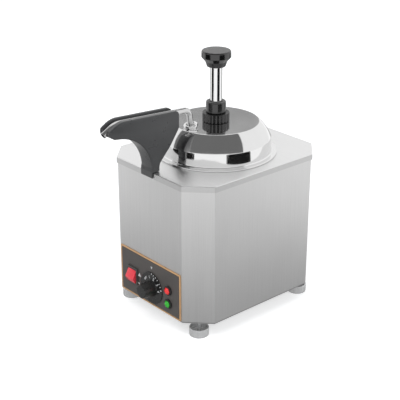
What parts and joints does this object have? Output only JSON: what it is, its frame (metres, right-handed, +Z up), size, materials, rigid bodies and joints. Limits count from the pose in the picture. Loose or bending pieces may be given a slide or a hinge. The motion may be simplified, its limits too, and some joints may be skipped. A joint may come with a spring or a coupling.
{
  "type": "hot topping warmer",
  "caption": "Countertop hot fudge topping warmer: a steel cabinet with thermostat, switch and lamps, a lift-out jar, a pump lid and a heated spout.",
  "frame": {"origin": "middle of the whole part's bounding box, on the counter under its feet", "axes": "+Z up, -Y towards the control panel and the spout, +X to the right of someone who faces the panel"},
  "size_m": [0.22, 0.3578, 0.4044],
  "materials": {
    "brushed_body": "brushed stainless steel, vertical grain",
    "mirror_steel": "polished",
    "jar_steel": "satin",
    "plain_steel": "mill finish",
    "foot_steel": "turned, fine grip lines",
    "cylinder_steel": "satin",
    "aluminium": "machined",
    "band_metal": "copper, satin",
    "brass": "machined",
    "dark_coat": "dark grey, satin",
    "panel_film": "dark film with a coloured border",
    "black_plastic": "satin",
    "black_gloss": "semi-gloss",
    "red_plastic": "translucent red",
    "green_plastic": "translucent green",
    "white_plastic": "natural",
    "silicone": "silicone rubber",
    "glass_wool": "glass fibre blanket"
  },
  "bodies": {
    "cabinet": {"base_plate": "plain_steel", "base_screw_1": "plain_steel", "base_screw_2": "plain_steel", "base_screw_3": "plain_steel", "base_screw_4": "plain_steel", "body_shell": "brushed_body", "top_deck": "mirror_steel", "well": "plain_steel", "band_heater": "band_metal", "heater_clamp_bolt": "plain_steel", "insulation_sleeve": "glass_wool", "thermal_cutout": "black_plastic", "terminal_block": "white_plastic", "cord_gland": "black_plastic", "gland_nut": "black_plastic", "control_panel": "panel_film", "switch_body": "black_plastic", "lamp_red_body": "black_plastic", "lamp_red_lens": "red_plastic", "lamp_green_body": "black_plastic", "lamp_green_lens": "green_plastic", "thermostat_body": "black_plastic", "thermostat_nut": "brass", "thermostat_bulb": "band_metal", "spout_housing": "dark_coat", "spout_heat_block": "aluminium", "spout_heater": "plain_steel", "spout_screw_1": "plain_steel", "spout_screw_2": "plain_steel", "foot_nut_front_left": "plain_steel", "foot_nut_front_right": "plain_steel", "foot_nut_rear_left": "plain_steel", "foot_nut_rear_right": "plain_steel"},
    "product_jar": {"jar": "jar_steel"},
    "pump_lid": {"lid": "mirror_steel", "lid_washer": "silicone", "knurled_nut": "black_gloss", "lock_collar": "black_gloss", "pump_cylinder": "cylinder_steel", "spring_seat": "white_plastic", "return_spring": "plain_steel", "valve_body": "black_plastic", "discharge_tube": "mirror_steel", "tube_ferrule": "mirror_steel"},
    "plunger": {"pump_knob": "black_gloss", "plunger_sleeve": "mirror_steel", "piston_rod": "plain_steel", "piston": "white_plastic", "piston_seal": "silicone"},
    "check_ball": {"intake_ball": "mirror_steel"},
    "dial": {"thermostat_knob": "black_gloss", "thermostat_shaft": "plain_steel"},
    "rocker": {"switch_rocker": "red_plastic"},
    "front_left_foot": {"foot_front_left": "foot_steel"},
    "front_right_foot": {"foot_front_right": "foot_steel"},
    "rear_left_foot": {"foot_rear_left": "foot_steel"},
    "rear_right_foot": {"foot_rear_right": "foot_steel"}
  },
  "joints": [
    {"name": "jar_lift", "type": "slide", "parent": "cabinet", "child": "product_jar", "axis": [0, 0, 1], "range_m": [0, 0.025]},
    {"name": "pump_lid_lift", "type": "slide", "parent": "product_jar", "child": "pump_lid", "axis": [0, 0.2588, 0.9659], "range_m": [0, 0.245]},
    {"name": "plunger_push", "type": "slide", "parent": "pump_lid", "child": "plunger", "axis": [0, 0, -1], "range_m": [0, 0.05], "stiffness_N_per_m": 380, "springref_m": -0.03, "deforming": ["return_spring"]},
    {"name": "check_ball_lift", "type": "slide", "parent": "pump_lid", "child": "check_ball", "axis": [0, 0, 1], "range_m": [0, 0.003]},
    {"name": "thermostat_turn", "type": "hinge", "parent": "cabinet", "child": "dial", "pos_m": [0.0043, -0.1004, 0.057], "axis": [0, -1, 0], "range_deg": [0, 300]},
    {"name": "switch_rock", "type": "hinge", "parent": "cabinet", "child": "rocker", "pos_m": [-0.042, -0.1007, 0.061], "axis": [1, 0, 0], "range_deg": [0, 14]},
    {"name": "front_left_foot_turn", "type": "hinge", "parent": "cabinet", "child": "front_left_foot", "pos_m": [-0.08236, -0.07246, 0], "axis": [0, 0, 1], "range_deg": [-180, 180]},
    {"name": "front_right_foot_turn", "type": "hinge", "parent": "cabinet", "child": "front_right_foot", "pos_m": [0.08236, -0.07246, 0], "axis": [0, 0, 1], "range_deg": [-180, 180]},
    {"name": "rear_left_foot_turn", "type": "hinge", "parent": "cabinet", "child": "rear_left_foot", "pos_m": [-0.08236, 0.13826, 0], "axis": [0, 0, 1], "range_deg": [-180, 180]},
    {"name": "rear_right_foot_turn", "type": "hinge", "parent": "cabinet", "child": "rear_right_foot", "pos_m": [0.08236, 0.13826, 0], "axis": [0, 0, 1], "range_deg": [-180, 180]}
  ]
}
